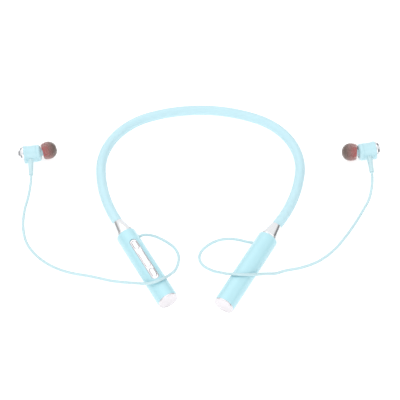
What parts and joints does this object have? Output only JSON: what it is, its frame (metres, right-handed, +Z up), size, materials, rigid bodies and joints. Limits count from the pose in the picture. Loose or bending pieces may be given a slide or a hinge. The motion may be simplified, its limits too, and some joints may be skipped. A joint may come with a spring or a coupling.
{
  "type": "neckband earphones",
  "caption": "Neckband earphones: silicone neck loop with two battery and control sticks and two thin-corded magnetic in-ear earbuds.",
  "frame": {"origin": "middle of the footprint of the neckband, sticks and earbuds, on the surface they lie on", "axes": "+X across the wearer's width as laid down, towards the right earbud; +Y to the back of the neck; +Z up from the surface"},
  "size_m": [0.2445, 0.1654, 0.0151],
  "materials": {
    "band_silicone": "soft matt silicone",
    "spring_steel": "drawn",
    "cable_jacket": "matt",
    "brass": "plain",
    "silver_collar": "polished",
    "stick_plastic": "soft-touch paint",
    "cap_plastic": "pearl white",
    "panel_plastic": "plated silver",
    "key_plastic": "plated silver",
    "black_plastic": "plain",
    "circuit_board": "solder mask",
    "socket_steel": "stamped",
    "microphone_can": "plain",
    "light_pipe": "clear",
    "cord_rubber": "satin",
    "cell_foil": "foil",
    "foam": "open cell",
    "housing_paint": "satin sky-blue anodised",
    "polished_chrome": "mirror",
    "magnet": "nickel plated",
    "diaphragm_film": "film",
    "fine_mesh": "woven",
    "grey_silicone": "translucent grey silicone",
    "red_silicone": "satin"
  },
  "bodies": {
    "neckband": {"neckband_sleeve": "band_silicone", "memory_wire": "spring_steel", "neck_cable": "cable_jacket", "left_wire_anchor": "brass", "right_wire_anchor": "brass"},
    "left_stick": {"left_collar": "silver_collar", "left_barrel": "stick_plastic", "left_end_cap": "cap_plastic", "control_panel": "panel_plastic", "tact_switches": "black_plastic", "main_board": "circuit_board", "bluetooth_chip": "black_plastic", "usb_socket": "socket_steel", "microphone": "microphone_can", "status_light": "light_pipe", "board_sled": "black_plastic", "left_cord_grommet": "cord_rubber", "left_cord": "cord_rubber", "left_housing": "housing_paint", "left_back_cap": "polished_chrome", "left_cap_magnet": "magnet", "left_strain_relief": "cord_rubber", "left_driver_basket": "black_plastic", "left_driver_magnet": "magnet", "left_diaphragm": "diaphragm_film", "left_nozzle_mesh": "fine_mesh"},
    "right_stick": {"right_collar": "silver_collar", "right_barrel": "stick_plastic", "right_end_cap": "cap_plastic", "battery_cell": "cell_foil", "battery_foam": "foam", "battery_board": "circuit_board", "right_cord_grommet": "cord_rubber", "right_cord": "cord_rubber", "right_housing": "housing_paint", "right_back_cap": "polished_chrome", "right_cap_magnet": "magnet", "right_strain_relief": "cord_rubber", "right_driver_basket": "black_plastic", "right_driver_magnet": "magnet", "right_diaphragm": "diaphragm_film", "right_nozzle_mesh": "fine_mesh"},
    "volume_up_button": {"volume_up_key": "key_plastic"},
    "main_button": {"main_key": "key_plastic"},
    "volume_down_button": {"volume_down_key": "key_plastic"},
    "left_ear_tip": {"left_tip_dome": "grey_silicone", "left_tip_core": "red_silicone"},
    "right_ear_tip": {"right_tip_dome": "grey_silicone", "right_tip_core": "red_silicone"}
  },
  "joints": [
    {"name": "left_stick_flex", "type": "hinge", "parent": "neckband", "child": "left_stick", "pos_m": [-0.05018, -0.02147, 0.0065], "axis": [0, 0, -1], "range_deg": [-5, 16], "stiffness_Nm_per_rad": 0.2},
    {"name": "right_stick_flex", "type": "hinge", "parent": "neckband", "child": "right_stick", "pos_m": [0.05018, -0.02147, 0.0065], "axis": [0, 0, 1], "range_deg": [-9, 12], "stiffness_Nm_per_rad": 0.2},
    {"name": "volume_up_press", "type": "slide", "parent": "left_stick", "child": "volume_up_button", "axis": [0, 0, -1], "range_m": [0, 0.00025], "stiffness_N_per_m": 4000},
    {"name": "main_press", "type": "slide", "parent": "left_stick", "child": "main_button", "axis": [0, 0, -1], "range_m": [0, 0.00025], "stiffness_N_per_m": 4000},
    {"name": "volume_down_press", "type": "slide", "parent": "left_stick", "child": "volume_down_button", "axis": [0, 0, -1], "range_m": [0, 0.00025], "stiffness_N_per_m": 4000},
    {"name": "left_tip_pull", "type": "slide", "parent": "left_stick", "child": "left_ear_tip", "axis": [0.9205, 0.3907, 0], "range_m": [0, 0.009]},
    {"name": "right_tip_pull", "type": "slide", "parent": "right_stick", "child": "right_ear_tip", "axis": [-0.9998, 0.0175, 0], "range_m": [0, 0.009]}
  ]
}
